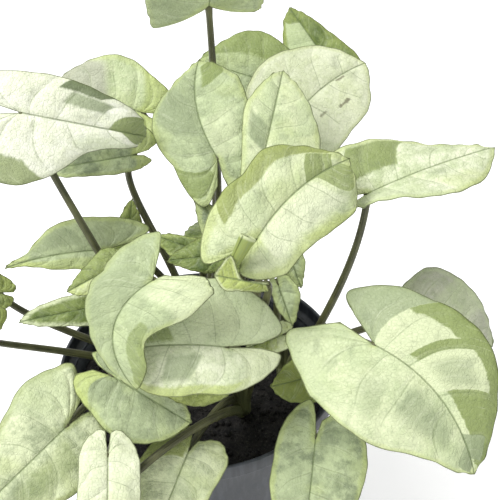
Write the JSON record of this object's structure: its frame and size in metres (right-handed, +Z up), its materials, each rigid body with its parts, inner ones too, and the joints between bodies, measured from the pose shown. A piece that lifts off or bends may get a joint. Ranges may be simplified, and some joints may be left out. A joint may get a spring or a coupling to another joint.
{
  "type": "potted arrowhead plant",
  "caption": "Arrowhead plant with pale variegated arrowhead blades on long arching leaf stalks, growing from soil in a round tapered nursery pot.",
  "frame": {"origin": "centre of the pot's flat base, on the surface it stands on", "axes": "+Z up along the pot's axis; -Y towards the side the picture was taken from; +X to the right as seen from there"},
  "size_m": [0.292, 0.311, 0.3641],
  "materials": {
    "pot": "satin dark slate plastic",
    "soil": "matte crumbly potting soil",
    "stalks": "smooth dark olive stalk",
    "blades": "soft satin leaf, cream and green"
  },
  "bodies": {
    "root": {"pot": "pot", "soil": "soil", "plantlet_back": "stalks", "plantlet_mid": "stalks", "plantlet_front": "stalks", "plantlet_right": "stalks", "plantlet_left": "stalks", "leaf_01": "blades", "leaf_02": "blades", "leaf_03": "blades", "leaf_04": "blades", "leaf_05": "blades", "leaf_06": "blades", "leaf_07": "blades", "leaf_08": "blades", "leaf_09": "blades", "leaf_10": "blades", "leaf_11": "blades", "leaf_12": "blades", "leaf_13": "blades", "leaf_14": "blades", "leaf_15": "blades", "leaf_16": "blades", "leaf_17": "blades", "leaf_18": "blades", "leaf_19": "blades", "leaf_20": "blades", "leaf_21": "blades", "leaf_22": "blades", "leaf_23": "blades", "leaf_24": "blades", "leaf_25": "blades", "leaf_26": "blades", "leaf_27": "blades", "leaf_28": "blades", "leaf_29": "blades", "leaf_30": "blades", "leaf_31": "blades", "leaf_32_rolled": "blades", "leaf_33": "blades", "leaf_34": "blades", "leaf_35": "blades", "leaf_36": "blades", "leaf_37": "blades", "leaf_38": "blades"}
  },
  "joints": []
}
